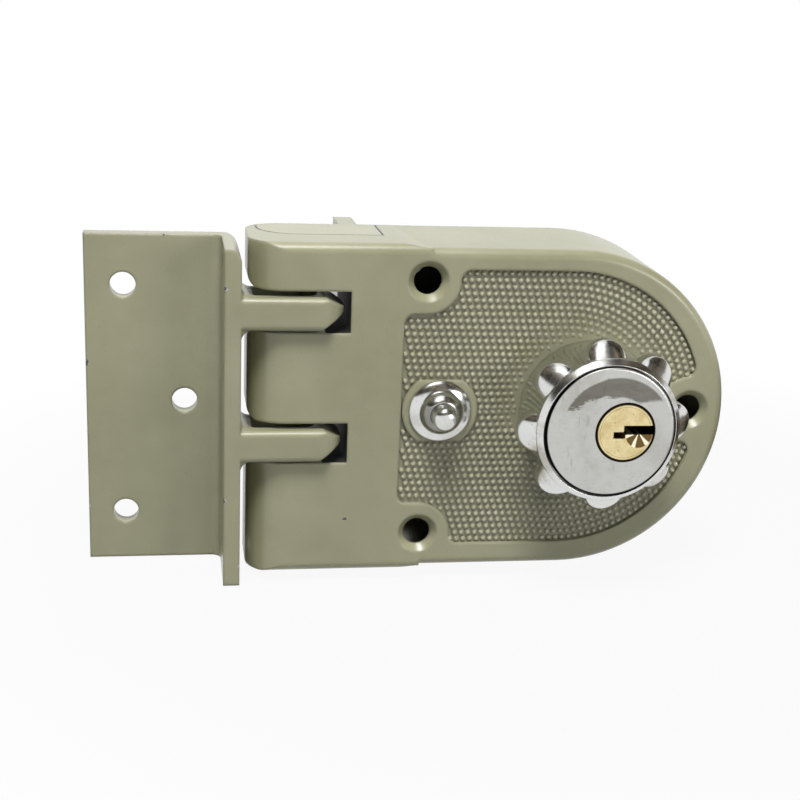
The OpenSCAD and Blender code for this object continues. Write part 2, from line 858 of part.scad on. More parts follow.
module key_plug() {
  cam_x = plug_x + cam_at * cos(45);
  cam_z = cam_at * sin(45);
  color(brass) difference() {
    union() {
      peg(plug_x, 0, plug_rear_a, face_a - 1.9, plug_r);
      peg(plug_x, 0, face_a - 1.95, face_a + 0.1, plug_face_r);
      peg(cam_x, cam_z, slide_a + 0.4, plug_rear_a + 1, cam_r);
    }
    plate(plug_rear_a + 2, face_a + 1) keyway();
    for (i = [0 : pin_count - 1]) {
      cross_peg(plug_x - plug_r - 1, plug_x - 1.5, first_pin_a + i * pin_pitch, 0, chamber_r);
    }
  }
}

module bottom_pins() {
  tail_x = plug_x - plug_r + 0.1;
  color(brass) for (i = [0 : pin_count - 1]) {
    long = 2.4 + 0.4 * ((i * 2) % 3);
    cross_peg(tail_x, tail_x + long, first_pin_a + i * pin_pitch, 0, pin_r);
    translate([tail_x + long - eps, -first_pin_a - i * pin_pitch, 0]) rotate([0, 90, 0])
      cylinder(h = 0.8, r1 = pin_r, r2 = 0.6);
  }
}

module driver_pins() {
  color(steel) for (i = [0 : pin_count - 1]) {
    cross_peg(driver_x - driver_long, driver_x, first_pin_a + i * pin_pitch, 0, pin_r);
  }
}

module pin_springs() {
  spring_end = cover_x + cover_thick;
  high = driver_x - driver_long - 0.1 - spring_end - 0.1;
  color(steel) for (i = [0 : pin_count - 1]) {
    translate([spring_end + 0.1, -first_pin_a - i * pin_pitch, 0]) rotate([0, 90, 0]) coil(pin_coil_r, pin_wire_r, high, 4);
  }
}

module pin_cover() {
  color(brass) block(cover_x, cover_x + cover_thick, first_pin_a - 2.3, seat_a - 0.3, -cover_half, cover_half);
}

module lock_slide() {
  cam_x = plug_x + cam_at * cos(45);
  color(steel) difference() {
    plate(slide_a, slide_a + slide_thick) intersection() {
      translate([-slide_tip_r, -slide_half]) square([slide_tip_r + slide_tail, 2 * slide_half]);
      circle(slide_tip_r);
    }
    block(cam_x - cam_r - 0.1, cam_x + cam_r + 0.1, 0, 40, -0.4, 2.8);
  }
}

// The arm that carries one bolt, with its top at the given height
module carrier_arm(top) {
  low = top - arm_high;
  block(-arm_left, -spine_left + 1, carrier_a, carrier_a + carrier_thick, low, top);
  block(-arm_left, -riser_right, carrier_a, bolt_a + bolt_end_r, low, top);
  block(-bolt_x, -riser_right, bolt_a - bolt_end_r, bolt_a + bolt_end_r, low, top);
  translate([-bolt_x, -bolt_a, low]) linear_extrude(arm_high) oblong(bolt_long, bolt_thick);
}

module bolt_carrier() {
  upper_low = upper_top - bolt_tall;
  lower_low = lower_top - bolt_tall;
  stud_slot = stud_neck_r + 0.1;
  color(steel) difference() {
    union() {
      block(-spine_left, -spine_right, carrier_a, carrier_a + carrier_thick, lower_low - arm_high, spine_top);
      block(-spine_right - 1, -fork_end, carrier_a, carrier_a + carrier_thick, -crank_at - fork_half, -crank_at + fork_half);
      carrier_arm(upper_low);
      carrier_arm(lower_low);
    }
    for (z = stud_z) {
      block(-stud_x - stud_slot, -stud_x + stud_slot, 0, 30, z - bolt_travel, z);
      peg(-stud_x, z, 0, 30, stud_slot);
      peg(-stud_x, z - bolt_travel, 0, 30, stud_slot);
    }
    block(-fork_slot_from, 0, 0, 30, -crank_at - fork_slot_half, -crank_at + fork_slot_half);
    for (low = [upper_low, lower_low]) {
      for (side = [-1, 1]) {
        translate([-bolt_x + side * rivet_at, -bolt_a, low - arm_high - 1]) cylinder(h = 10, r = rivet_r + run);
        translate([-bolt_x + side * rivet_at, -bolt_a, low - arm_high - eps]) cylinder(h = 1.1, r1 = rivet_head_r + 0.1, r2 = rivet_r + run);
      }
    }
  }
}

// A bolt with its top at the given height
module bolt_body(top) {
  body = bolt_tall - bolt_chamfer;
  flat = bolt_end_r - bolt_chamfer;
  color(steel) translate([-bolt_x, -bolt_a, top - bolt_tall]) difference() {
    union() {
      linear_extrude(body) oblong(bolt_long, bolt_thick);
      for (side = [-1, 1]) {
        translate([side * bolt_reach, 0, body - eps]) cylinder(h = bolt_chamfer, r1 = bolt_end_r, r2 = flat);
      }
      translate([-bolt_reach, 0, body - eps]) rotate([90, 0, 90]) linear_extrude(2 * bolt_reach)
        polygon([[-bolt_end_r, 0], [bolt_end_r, 0], [flat, bolt_chamfer], [-flat, bolt_chamfer]]);
    }
    for (side = [-1, 1]) {
      translate([side * rivet_at, 0, -1]) cylinder(h = rivet_long - 2, r = rivet_r + run);
    }
  }
}

module upper_bolt() {
  bolt_body(upper_top);
}

module lower_bolt() {
  bolt_body(lower_top);
}

module bolt_rivets() {
  color(steel) for (top = [upper_top, lower_top]) {
    for (side = [-1, 1]) {
      translate([-bolt_x + side * rivet_at, -bolt_a, top - bolt_tall - arm_high]) {
        cylinder(h = rivet_long, r = rivet_r);
        cylinder(h = 1, r1 = rivet_head_r, r2 = rivet_r);
      }
    }
  }
}

// One eyelet of the strike about its own mid height
module eyelet() {
  half = eye_high / 2;
  difference() {
    intersection() {
      slab(-half - 4, half + 4) {
        translate([-strike_x - 1, eye_back_a]) square([strike_x + 1 - eye_tip - eye_corner, strike_front_a - eye_back_a]);
        round_rect(-strike_x - 1, -eye_tip, eye_back_a, strike_front_a, eye_corner);
      }
      plate(eye_back_a - 1, strike_front_a + 1) {
        polygon([[-strike_x - 1, -half], [-nose_low, -half], [-eye_tip, nose_low_z], [-eye_tip, nose_top_z],
          [-nose_top, half], [-strike_x - 1, half]]);
      }
      bar(-strike_x - 2, -eye_tip + 1) round_rect(eye_back_a, strike_front_a, -half, half, eye_round);
    }
    slab(-half - 1, half + 1) round_rect(-eye_hole_left, -eye_hole_right, eye_hole_back_a, eye_hole_front_a, eye_hole_corner);
  }
  for (side = [0, 1]) {
    mirror([0, 0, side]) translate([-strike_x, 0, half]) plate(eye_back_a + eye_round, strike_front_a - eye_round) fillet_corner(eye_fillet);
  }
}

// Plan of the two legs with the bend between them, in x and depth
module strike_plan() {
  difference() {
    union() {
      translate([-strike_x - leg_thick, wing_a]) square([leg_thick, strike_front_a - wing_a]);
      translate([-strike_x - wing_wide - leg_thick, wing_a]) square([wing_wide + leg_thick, wing_thick]);
      translate([-strike_x - leg_thick - 1, wing_a]) square([2, wing_thick]);
      translate([-strike_x - leg_thick, wing_a + wing_thick]) mirror([1, 0]) fillet_corner(wing_fillet);
    }
    translate([-strike_x, wing_a]) mirror([1, 0]) fillet_corner(bend_round);
  }
}

module strike() {
  color(paint) difference() {
    union() {
      slab(strike_low, strike_top) strike_plan();
      for (z = [slot_z, low_slot_z]) {
        translate([0, 0, z - 0.25]) eyelet();
      }
    }
    plate(wing_a - 1, strike_front_a + 1) {
      translate([-strike_x, strike_top]) rotate([0, 0, 180]) fillet_corner(leg_corner);
    }
    for (spot = wing_holes) {
      peg(spot[0], strike_z + spot[1], 0, wing_a + wing_thick + 1, wing_hole_r);
    }
    for (side = [-1, 1]) {
      cross_peg(-strike_x - leg_thick - 1, -strike_x + 1, leg_hole_a, strike_z + side * leg_hole_z, leg_hole_r);
    }
  }
}

case_cover();
back_plate();
back_screws();
edge_flange();
guide_studs();
knob_bush();
button_bezel();
button_nut();
button_spring();
button_plunger();
button_clip();
turn_knob();
knob_clip();
drive_hub();
cylinder_body();
cylinder_screws();
key_plug();
bottom_pins();
driver_pins();
pin_springs();
pin_cover();
lock_slide();
bolt_carrier();
upper_bolt();
lower_bolt();
bolt_rivets();
strike();
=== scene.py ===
import math
import random

import bmesh
import bpy
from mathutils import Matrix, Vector


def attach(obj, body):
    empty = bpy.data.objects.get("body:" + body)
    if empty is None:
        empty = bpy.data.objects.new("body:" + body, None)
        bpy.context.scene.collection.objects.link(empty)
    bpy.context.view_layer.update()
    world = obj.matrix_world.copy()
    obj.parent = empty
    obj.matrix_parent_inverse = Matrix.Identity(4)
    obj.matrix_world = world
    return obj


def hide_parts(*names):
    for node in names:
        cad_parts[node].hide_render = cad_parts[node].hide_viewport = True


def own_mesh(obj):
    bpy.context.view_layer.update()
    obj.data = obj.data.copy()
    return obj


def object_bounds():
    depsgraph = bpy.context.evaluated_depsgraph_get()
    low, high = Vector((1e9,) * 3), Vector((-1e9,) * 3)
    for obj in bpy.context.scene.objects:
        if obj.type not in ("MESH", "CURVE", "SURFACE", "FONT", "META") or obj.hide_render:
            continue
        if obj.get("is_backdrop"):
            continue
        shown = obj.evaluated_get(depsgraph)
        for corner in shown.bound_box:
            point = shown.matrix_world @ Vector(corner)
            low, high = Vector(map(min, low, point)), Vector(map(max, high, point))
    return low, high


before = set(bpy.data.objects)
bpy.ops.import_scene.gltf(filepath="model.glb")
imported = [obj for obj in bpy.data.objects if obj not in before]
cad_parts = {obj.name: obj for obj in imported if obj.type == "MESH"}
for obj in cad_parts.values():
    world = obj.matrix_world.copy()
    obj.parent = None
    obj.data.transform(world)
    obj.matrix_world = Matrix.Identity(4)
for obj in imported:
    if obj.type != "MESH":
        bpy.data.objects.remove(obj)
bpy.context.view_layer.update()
mm = 0.001
print("frame loaded")

buttonAxis = -37.6 * mm
plugAxis = 3.6 * mm
deepShade = (0.006, 0.006, 0.005)
midNoise = 0.5
bevelSamples = 6
weldGap = 1e-7


# a socket of a node tree that can be used in plain expressions
class Wire:
    def __init__(self, tree, socket):
        self.tree = tree
        self.socket = socket

    def maths(self, operation, *values):
        node = self.tree.nodes.new("ShaderNodeMath")
        node.operation = operation
        for slot, value in zip(node.inputs, values):
            if isinstance(value, Wire):
                self.tree.links.new(value.socket, slot)
            else:
                slot.default_value = value
        return Wire(self.tree, node.outputs[0])

    def __add__(self, other):
        return self.maths("ADD", self, other)

    __radd__ = __add__

    def __sub__(self, other):
        return self.maths("SUBTRACT", self, other)

    def __rsub__(self, other):
        return self.maths("SUBTRACT", other, self)

    def __mul__(self, other):
        return self.maths("MULTIPLY", self, other)

    __rmul__ = __mul__

    def __pow__(self, other):
        return self.maths("POWER", self, other)

    def least(self, other):
        return self.maths("MINIMUM", self, other)

    def most(self, other):
        return self.maths("MAXIMUM", self, other)

    def size(self):
        return self.maths("ABSOLUTE", self)

    def sine(self):
        return self.maths("SINE", self)

    # the angle of a point this far up and the other value across
    def angle(self, across):
        return self.maths("ARCTAN2", self, across)


# an emptied node tree, and one method that makes every node with an output
class Graph:
    def __init__(self, tree):
        self.tree = tree
        self.tree.nodes.clear()

    def node(self, kind, settings=None, sockets=None, output=0):
        made = self.tree.nodes.new(kind)
        for key, value in (settings or {}).items():
            setattr(made, key, value)
        for key, value in (sockets or {}).items():
            if isinstance(value, Wire):
                self.tree.links.new(value.socket, made.inputs[key])
            else:
                made.inputs[key].default_value = value
        return Wire(self.tree, made.outputs[output])

    # 1 for a ray that comes from the camera, a mirror or glass, and 0 for one that lights
    def plainRays(self):
        seen, glossy, through = [self.node("ShaderNodeLightPath", output=f"Is {kind} Ray")
                                 for kind in ("Camera", "Glossy", "Transmission")]
        return (seen + glossy + through).least(1.0)


# one material, its shader, and the patterns that it is mixed from
class Finish(Graph):
    def __init__(self, name):
        self.material = bpy.data.materials.new(name)
        self.material.use_nodes = True
        super().__init__(self.material.node_tree)
        self.output = self.tree.nodes.new("ShaderNodeOutputMaterial")
        self.shader = self.tree.nodes.new("ShaderNodeBsdfPrincipled")
        self.tree.links.new(self.shader.outputs[0], self.output.inputs[0])
        self.place = self.node("ShaderNodeTexCoord", output="Object")

    def noise(self, scale, detail, rough, place=None):
        sockets = {"Vector": place or self.place, "Scale": scale, "Detail": detail, "Roughness": rough}
        return self.node("ShaderNodeTexNoise", None, sockets)

    def streaks(self, stretch, detail, rough):
        place = self.node("ShaderNodeMapping", None, {"Vector": self.place, "Scale": stretch})
        return self.noise(1.0, detail, rough, place)

    # 0 below the low value and 1 above the high one
    def step(self, value, low, high):
        sockets = {"Value": value, "From Min": low, "From Max": high}
        return self.node("ShaderNodeMapRange", {"interpolation_type": "SMOOTHSTEP"}, sockets)

    def ramp(self, value, start, width):
        return self.step(value, start, start + width)

    def blend(self, factor, first, second):
        first, second = [value if isinstance(value, Wire) else (*value, 1) for value in (first, second)]
        return self.node("ShaderNodeMix", {"data_type": "RGBA"}, {0: factor, 6: first, 7: second}, 2)

    def axes(self):
        return [self.node("ShaderNodeSeparateXYZ", None, {0: self.place}, axis) for axis in range(3)]

    # distance from a line along y through x and z
    def reach(self, x, z):
        across, _, up = self.axes()
        side, rise = across - x, up - z
        return (side * side + rise * rise) ** 0.5

    def bump(self, height, strength, distance, soften=0.0):
        sockets = {"Height": height, "Strength": strength, "Distance": distance}
        if soften:
            sockets["Normal"] = self.node("ShaderNodeBevel", {"samples": bevelSamples}, {"Radius": soften})
        return self.node("ShaderNodeBump", None, sockets)

    def finish(self, **sockets):
        for key, value in sockets.items():
            name = key.replace("_", " ")
            if isinstance(value, Wire):
                self.tree.links.new(value.socket, self.shader.inputs[name])
            else:
                self.shader.inputs[name].default_value = (*value, 1) if name == "Base Color" else value
        return self.material


# in every look, a noise is its scale, detail and roughness, streaks have a stretch for the scale,
# a range is where a step starts and ends, and a bump is strength, distance and edge rounding
enamelLook = {
    "tone": (0.278, 0.272, 0.168),
    "paleTone": (0.305, 0.299, 0.190),
    "deepTone": (0.250, 0.245, 0.148),
    "speckTone": (0.13, 0.125, 0.08),
    "drift": (26.0, 3.0, 0.55),
    "driftRange": (0.36, 0.66),
    "cloud": (140.0, 3.0, 0.6),
    "cloudRange": (0.40, 0.62),
    "cloudShare": 0.5,
    "specks": (2300.0, 1.0, 0.4),
    "speckRange": (0.70, 0.77),
    "speckShare": 0.28,
    "fine": (1500.0, 2.0, 0.5),
    "relief": (560.0, 2.0, 0.5),
    "fineRelief": 0.3,
    "bump": (0.06, 0.4 * mm, 1.1 * mm),
    "rough": 0.35,
    "wornRough": 0.24,
    "fineRough": 0.12,
    "driftRough": 0.10,
    "coat": 0.40,
    "coatRough": 0.17,
}

# painted shade on the floor of the sunken panel, and a painted highlight on the worn tips of the bumps that
# stand on it
panelShadeAndTipLightLook = {
    "tone": (0.105, 0.102, 0.066),
    "share": 0.34,
    "floor": -28.0 * mm,
    "frontRange": (-0.22 * mm, -0.04 * mm),
    "backRange": (0.04 * mm, 0.10 * mm),
    "left": -47.6 * mm,
    "roundCentre": -6.0 * mm,
    "outer": 36.0 * mm,
    "ears": ((-41.8 * mm, 32.0 * mm, 7.7 * mm), (26.3 * mm, 0.0, 8.3 * mm)),
    "soft": 0.3 * mm,
    "tip": (0.66, 0.66, 0.58),
    "tipRange": (-0.68 * mm, -0.50 * mm),
}


def panelShadeMask(coat, across, depth, up):
    look = panelShadeAndTipLightLook
    soft = look["soft"]
    sunk = depth - look["floor"]
    mask = coat.step(sunk, *look["frontRange"]) * (1 - coat.step(sunk, *look["backRange"]))
    beyond = (across - look["roundCentre"]).most(0.0)
    spread = (beyond * beyond + up * up) ** 0.5
    mask = mask * (1 - coat.ramp(spread, look["outer"], soft)) * coat.ramp(across, look["left"] - soft, soft)
    for x, z, radius in look["ears"]:
        side, rise = across - x, up.size() - z
        mask = mask * coat.ramp((side * side + rise * rise) ** 0.5, radius - soft, soft)
    return mask


# the seam around the tongue in the top of the case, painted near black as shade in the gap
seamShadeLook = {
    "corner": (-72.0 * mm, -6.5 * mm, 9.7 * mm),
    "right": -51.3 * mm,
    "half": 0.22 * mm,
    "soft": 0.12 * mm,
    "topRange": (39.6 * mm, 39.8 * mm),
    "doorRange": (-0.1 * mm, 0.1 * mm),
}


def seamShadeMask(coat, across, depth, up):
    look = seamShadeLook
    x, y, radius = look["corner"]
    aside, ahead = (x - across).most(0.0), (y - depth).most(0.0)
    away = ((aside * aside + ahead * ahead) ** 0.5 - radius).most(across - look["right"]).size()
    line = 1 - coat.ramp(away, look["half"], look["soft"])
    return line * coat.step(up, *look["topRange"]) * (1 - coat.step(depth, *look["doorRange"]))


# the right ends of the two slots, where the coat is left off and the colour is painted shade, near black
slotShadeLook = {
    "left": -66.4 * mm,
    "right": -55.0 * mm,
    "endSoft": 0.4 * mm,
    "frontRange": (-28.7 * mm, -28.5 * mm),
    "middles": (24.3 * mm, -8.2 * mm),
    "half": 5.2 * mm,
    "halfSoft": 0.2 * mm,
    "rough": 0.5,
}


def slotShadeMask(coat, across, depth, up):
    look = slotShadeLook
    upper, lower = [1 - coat.ramp((up - middle).size(), look["half"], look["halfSoft"])
                    for middle in look["middles"]]
    length = coat.ramp(across, look["left"], look["endSoft"])
    length = length * (1 - coat.ramp(across, look["right"], look["endSoft"]))
    return length * coat.step(depth, *look["frontRange"]) * upper.most(lower)


# paint knocked off the edges: x, y and z in millimetres, and size
chipLook = {
    "case": (((-60.3, -29.0, -27.9), 0.55), ((-84.0, -20.0, 2.0), 0.6)),
    "strike": (
        ((-90.2, -31.4, 30.3), 0.95), ((-90.2, -31.4, -21.8), 0.85), ((-123.2, -11.0, 7.5), 0.9),
        ((-86.2, -31.4, -39.0), 0.6), ((-123.2, -11.0, -30.0), 0.5), ((-66.4, -31.4, 28.0), 0.55),
        ((-104.0, -11.0, 39.5), 0.6),
    ),
    "ragged": (1900.0, 2.0, 0.6),
    "solid": 0.82,
    "metal": (1300.0, 2.0, 0.5),
    "metalRange": (0.47, 0.55),
    "primer": (0.070, 0.062, 0.048),
    "bareMetal": (0.40, 0.39, 0.36),
    "rough": 0.22,
    "depth": 1.2,
}


def chipMask(coat, chips):
    ragged = coat.noise(*chipLook["ragged"]) - midNoise
    marks = []
    for point, size in chips:
        sockets = {0: coat.place, 1: [part * mm for part in point]}
        away = coat.node("ShaderNodeVectorMath", {"operation": "DISTANCE"}, sockets, 1)
        radius = size * mm
        marks.append(1 - coat.step(away + ragged * radius, radius * chipLook["solid"], radius))
    lost = marks[0]
    for mark in marks[1:]:
        lost = lost.most(mark)
    return lost


def makeEnamel(name, chips=(), lift=1.0, worn=0.0, slots=False):
    coat = Finish(name)
    look = enamelLook
    drift = coat.noise(*look["drift"])
    cloud = coat.noise(*look["cloud"])
    fine = coat.noise(*look["fine"])
    shades = [tuple(part * lift for part in look[key]) for key in ("deepTone", "tone", "paleTone")]
    tone = coat.blend(coat.step(drift, *look["driftRange"]), shades[0], shades[2])
    tone = coat.blend(coat.step(cloud, *look["cloudRange"]) * look["cloudShare"], tone, shades[1])
    specks = coat.step(coat.noise(*look["specks"]), *look["speckRange"])
    tone = coat.blend(specks * look["speckShare"], tone, look["speckTone"])
    across, depth, up = coat.axes()
    # painted shade on the floor of the sunken panel round the bumps
    panelShade = panelShadeMask(coat, across, depth, up)
    tone = coat.blend(panelShade * panelShadeAndTipLightLook["share"], tone, panelShadeAndTipLightLook["tone"])
    # worn bumps get smoother paint and a painted highlight on their tips
    if worn:
        tip = 1 - coat.step(depth - panelShadeAndTipLightLook["floor"], *panelShadeAndTipLightLook["tipRange"])
        tone = coat.blend(tip * worn, tone, panelShadeAndTipLightLook["tip"])
    # painted shade, near black, in the seam round the tongue
    tone = coat.blend(seamShadeMask(coat, across, depth, up), tone, deepShade)
    rough = look["wornRough"] if worn else look["rough"]
    rough = rough + (fine - midNoise) * look["fineRough"] + (drift - midNoise) * look["driftRough"]
    height = coat.noise(*look["relief"]) + fine * look["fineRelief"]
    coatWeight = look["coat"]
    if slots:
        # painted shade, near black, at the right ends of the slots, where the coat is left off
        slotShade = slotShadeMask(coat, across, depth, up)
        tone = coat.blend(slotShade, tone, deepShade)
        rough = rough + slotShade * slotShadeLook["rough"]
        coatWeight = (1 - slotShade) * coatWeight
    if chips:
        lost = chipMask(coat, chips)
        metal = coat.step(coat.noise(*chipLook["metal"]), *chipLook["metalRange"])
        tone = coat.blend(lost, tone, coat.blend(metal, chipLook["primer"], chipLook["bareMetal"]))
        rough = rough + lost * chipLook["rough"]
        height = height - lost * chipLook["depth"]
    return coat.finish(
        Base_Color=tone,
        Roughness=rough,
        Coat_Weight=coatWeight,
        Coat_Roughness=look["coatRough"],
        Normal=coat.bump(height, *look["bump"]),
    )


# a dark grey casting for the back plate, made dark all over as painted shade for where it shows through the
# holes and slots
castingLook = {
    "dark": (0.060, 0.062, 0.055),
    "pale": (0.105, 0.107, 0.098),
    "drift": (55.0, 4.0, 0.6),
    "grain": (1900.0, 3.0, 0.6),
    "rough": 0.50,
    "grainRough": 0.2,
    "metallic": 0.25,
    "bump": (0.12, 0.4 * mm, 0.4 * mm),
}


def makeCasting(name):
    coat = Finish(name)
    look = castingLook
    grain = coat.noise(*look["grain"])
    return coat.finish(
        Base_Color=coat.blend(coat.noise(*look["drift"]), look["dark"], look["pale"]),
        Roughness=look["rough"] + (grain - midNoise) * look["grainRough"],
        Metallic=look["metallic"],
        Normal=coat.bump(grain, *look["bump"]),
    )


platedLook = {
    "bright": (0.70, 0.71, 0.69),
    "stainTone": (0.30, 0.255, 0.19),
    "pitTone": (0.10, 0.09, 0.07),
    "haze": (120.0, 4.0, 0.6),
    "stain": (75.0, 5.0, 0.65),
    "stainRange": (0.50, 0.68),
    "pits": (1500.0, 2.0, 0.5),
    "pitRange": (0.69, 0.76),
    "pitShare": 0.5,
    "rubbed": ((900.0, 160.0, 900.0), 3.0, 0.6),
    "rough": 0.10,
    "hazeRough": 0.09,
    "stainRough": 0.14,
    "rubbedRough": 0.06,
    "rubbedRelief": 0.25,
    "bump": (0.07, 0.4 * mm, 0.35 * mm),
}

# a painted dark reflection: a ring on the dome of the button, open at its top
domeReflectionLook = {
    "inner": 3.1 * mm,
    "outer": 5.25 * mm,
    "soft": 0.3 * mm,
    "topRange": (1.6 * mm, 3.4 * mm),
    "share": 0.85,
    "hazeShare": 0.3,
    "tone": (0.10, 0.092, 0.066),
}


def makePlated(name, stained, dome=False):
    metal = Finish(name)
    look = platedLook
    haze = metal.noise(*look["haze"])
    stain = metal.step(metal.noise(*look["stain"]), *look["stainRange"]) * stained
    pits = metal.step(metal.noise(*look["pits"]), *look["pitRange"])
    rubbed = metal.streaks(*look["rubbed"])
    tone = metal.blend(stain, look["bright"], look["stainTone"])
    tone = metal.blend(pits * look["pitShare"], tone, look["pitTone"])
    # a painted dark reflection in a ring on the button's dome
    if dome:
        _, _, up = metal.axes()
        away = metal.reach(buttonAxis, 0.0)
        ring = metal.ramp(away, domeReflectionLook["inner"], domeReflectionLook["soft"])
        ring = ring * (1 - metal.ramp(away, domeReflectionLook["outer"], domeReflectionLook["soft"]))
        ring = ring * (1 - metal.step(up, *domeReflectionLook["topRange"]))
        tone = metal.blend(ring * (domeReflectionLook["share"] - haze * domeReflectionLook["hazeShare"]), tone, domeReflectionLook["tone"])
    rough = look["rough"] + haze * look["hazeRough"] + stain * look["stainRough"]
    return metal.finish(
        Base_Color=tone,
        Metallic=1.0,
        Roughness=rough + rubbed * look["rubbedRough"],
        Normal=metal.bump(haze + rubbed * look["rubbedRelief"], *look["bump"]),
    )


faceLook = {
    "bright": (0.565, 0.57, 0.55),
    "worn": (0.47, 0.465, 0.435),
    "strokeTone": (0.36, 0.355, 0.33),
    "mottleTone": (0.30, 0.295, 0.27),
    "scuffTone": (0.24, 0.235, 0.21),
    "cloud": (90.0, 4.0, 0.6),
    "cloudRange": (0.40, 0.72),
    "strokes": ((300.0, 300.0, 4600.0), 3.0, 0.6),
    "strokeShare": 0.35,
    "smear": ((260.0, 260.0, 700.0), 4.0, 0.65),
    "mottle": (700.0, 3.0, 0.7),
    "mottleRange": (0.50, 0.70),
    "mottleShare": 0.22,
    "scuffs": ((900.0, 300.0, 160.0), 2.0, 0.5),
    "scuffRange": (0.64, 0.72),
    "scuffShare": 0.35,
    "edge": 15.45 * mm,
    "edgeLean": 0.012,
    "edgeSoft": 0.2 * mm,
    "holeRange": (7.32 * mm, 7.50 * mm),
    "rough": 0.26,
    "strokeRough": 0.14,
    "cloudRough": 0.06,
    "arcRough": 0.10,
    "strokeRelief": 0.6,
    "bump": (0.10, 0.3 * mm, 0.25 * mm),
}

# a painted dark reflection in an arc over the plug, on rougher metal, more ragged at its left end
darkArcReflectionLook = {
    "tone": (0.105, 0.097, 0.075),
    "centre": (1.2 * mm, -0.3 * mm),
    "raggedRange": (-6.0 * mm, 4.0 * mm),
    "raggedRest": 0.15,
    "inner": 8.7 * mm,
    "innerSoft": 0.6 * mm,
    "innerRagged": 3.6 * mm,
    "innerDrop": 0.30,
    "outer": 13.4 * mm,
    "outerSoft": 0.5 * mm,
    "outerRagged": 1.2 * mm,
    "footRange": (6.4 * mm, 7.4 * mm),
    "footTilt": 0.083,
    "footRagged": 6.0 * mm,
    "share": 0.70,
    "smearShare": 0.25,
}


def darkArcReflectionMask(metal, across, up, smear):
    look = darkArcReflectionLook
    ragged = (smear - midNoise) * (1 - metal.step(across, *look["raggedRange"]))
    ragged = ragged + (smear - midNoise) * look["raggedRest"]
    away = metal.reach(*look["centre"])
    inner = away + across.least(0.0) * look["innerDrop"] + ragged * look["innerRagged"]
    outer = away + ragged * look["outerRagged"]
    foot = up - across * look["footTilt"] + ragged * look["footRagged"]
    mask = metal.ramp(inner, look["inner"], look["innerSoft"])
    mask = mask * (1 - metal.ramp(outer, look["outer"], look["outerSoft"]))
    return mask * metal.step(foot, *look["footRange"])


def makeFaceMetal(name):
    metal = Finish(name)
    look = faceLook
    across, _, up = metal.axes()
    strokes = metal.streaks(*look["strokes"])
    cloud = metal.noise(*look["cloud"])
    smear = metal.streaks(*look["smear"])
    tone = metal.blend(metal.step(cloud, *look["cloudRange"]), look["bright"], look["worn"])
    tone = metal.blend(strokes * look["strokeShare"], tone, look["strokeTone"])
    mottle = metal.step(metal.noise(*look["mottle"]), *look["mottleRange"])
    tone = metal.blend(mottle * look["mottleShare"], tone, look["mottleTone"])
    scuffs = metal.step(metal.streaks(*look["scuffs"]), *look["scuffRange"])
    tone = metal.blend(scuffs * look["scuffShare"], tone, look["scuffTone"])
    # painted dark reflection in an arc over the plug, with rougher metal under it
    arc = darkArcReflectionMask(metal, across, up, smear)
    tone = metal.blend(arc * (darkArcReflectionLook["share"] + smear * darkArcReflectionLook["smearShare"]), tone, darkArcReflectionLook["tone"])
    # painted shade in the gap at the rim of the face and in the gap round the plug, shifted off centre at
    # the rim
    spread = metal.reach(0.0, 0.0) - (across + up) * look["edgeLean"]
    edge = metal.ramp(spread, look["edge"], look["edgeSoft"])
    hole = 1 - metal.step(metal.reach(plugAxis, 0.0), *look["holeRange"])
    tone = metal.blend(edge.most(hole), tone, deepShade)
    rough = look["rough"] + strokes * look["strokeRough"] + cloud * look["cloudRough"]
    return metal.finish(
        Base_Color=tone,
        Metallic=1.0,
        Roughness=rough + arc * look["arcRough"],
        Normal=metal.bump(strokes * look["strokeRelief"], *look["bump"]),
    )


plugLook = {
    "bright": (0.78, 0.67, 0.38),
    "deep": (0.62, 0.49, 0.24),
    "dark": (0.16, 0.10, 0.035),
    "rimTone": (0.03, 0.02, 0.008),
    "cloud": (230.0, 4.0, 0.6),
    "cloudRange": (0.36, 0.70),
    "turned": ((700.0, 700.0, 3000.0), 3.0, 0.6),
    "specks": (1500.0, 2.0, 0.5),
    "speckRange": (0.62, 0.72),
    "speckShare": 0.5,
    "line": 6.15 * mm,
    "lineRise": 0.1 * mm,
    "lineFall": 0.15 * mm,
    "lineShare": 0.55,
    "rim": 6.62 * mm,
    "rimSoft": 0.22 * mm,
    "rough": 0.24,
    "turnedRough": 0.14,
    "turnedRelief": 0.5,
    "lineRelief": 0.8,
    "rimRelief": 0.6,
    "bump": (0.14, 0.3 * mm, 0.25 * mm),
}

# the fan-shaped dish under the keyway, with flutes that spread from one point: the dish dips and the flutes
# are bumped, and their dark and pale colours are painted shade and highlight
dishLook = {
    "x": 7.0 * mm,
    "z": -0.55 * mm,
    "radius": 3.3 * mm,
    "soft": 0.12 * mm,
    "topRange": (-0.49 * mm, -0.43 * mm),
    "fanX": 6.8 * mm,
    "fanZ": 0.05 * mm,
    "flutes": 6.6,
    "fluteTurn": 1.2,
    "fluteWander": 2.0,
    "fluteRange": (0.35, 0.80),
    "pale": (0.98, 0.93, 0.74),
    "relief": 1.0,
    "fluteRelief": 0.5,
}


